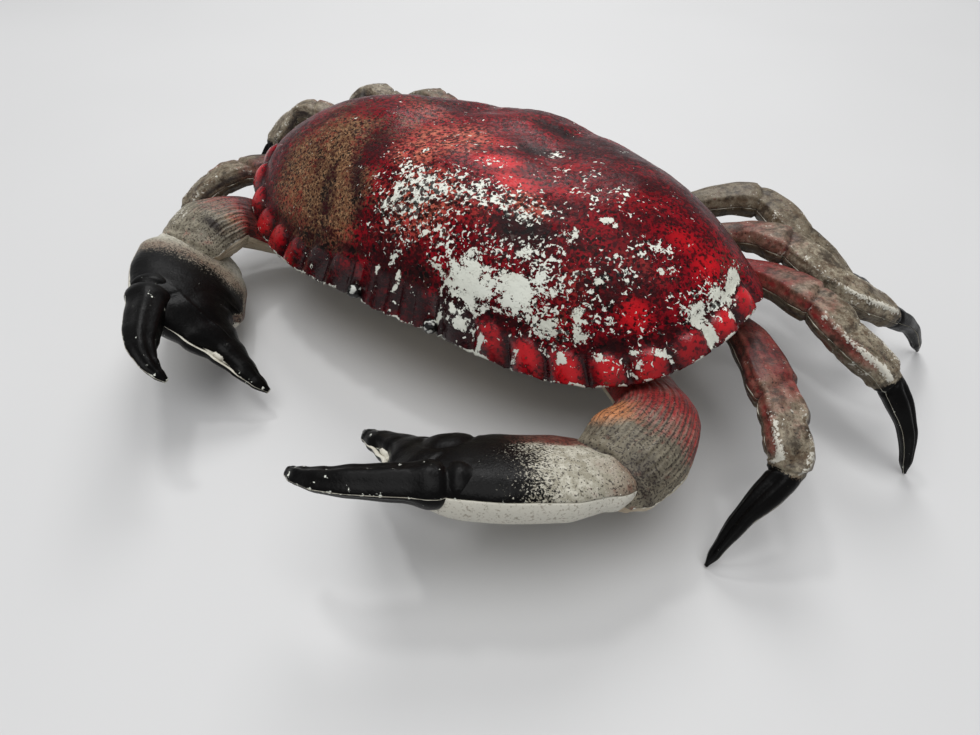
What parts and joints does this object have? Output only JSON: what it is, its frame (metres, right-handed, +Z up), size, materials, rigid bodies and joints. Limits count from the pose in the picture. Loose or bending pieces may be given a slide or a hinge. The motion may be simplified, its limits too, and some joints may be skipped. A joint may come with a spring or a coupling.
{
  "type": "crab figurine",
  "caption": "Free-standing painted crab figurine formed in hollow plastic skins, with open claws and bent walking legs; rests on its sternum.",
  "frame": {"origin": "middle of the flat patch of the sternum on which the figurine rests, straight below the widest line of the body", "axes": "+X to the crab's own left, across the body; +Y to its rear; +Z up"},
  "size_m": [0.2652, 0.2026, 0.0659],
  "materials": {
    "body_paint": "semi-gloss red paint, flaked to white",
    "claw_paint": "semi-gloss cream and black paint",
    "arm_paint": "semi-gloss orange to olive paint",
    "leg_paint": "semi-gloss pink and grey paint with black tips",
    "bare_skin": "pale cream, satin"
  },
  "bodies": {
    "root": {"upper_body_skin": "body_paint", "lower_body_skin": "bare_skin", "left_arm_upper_skin": "arm_paint", "left_arm_lower_skin": "bare_skin", "left_claw_upper_skin": "claw_paint", "left_claw_lower_skin": "bare_skin", "left_leg_1_upper_skin": "leg_paint", "left_leg_1_lower_skin": "bare_skin", "left_leg_2_upper_skin": "leg_paint", "left_leg_2_lower_skin": "bare_skin", "left_leg_3_upper_skin": "leg_paint", "left_leg_3_lower_skin": "bare_skin", "left_leg_4_upper_skin": "leg_paint", "left_leg_4_lower_skin": "bare_skin", "right_arm_upper_skin": "arm_paint", "right_arm_lower_skin": "bare_skin", "right_claw_upper_skin": "claw_paint", "right_claw_lower_skin": "bare_skin", "right_leg_1_upper_skin": "leg_paint", "right_leg_1_lower_skin": "bare_skin", "right_leg_2_upper_skin": "leg_paint", "right_leg_2_lower_skin": "bare_skin", "right_leg_3_upper_skin": "leg_paint", "right_leg_3_lower_skin": "bare_skin", "right_leg_4_upper_skin": "leg_paint", "right_leg_4_lower_skin": "bare_skin"}
  },
  "joints": []
}
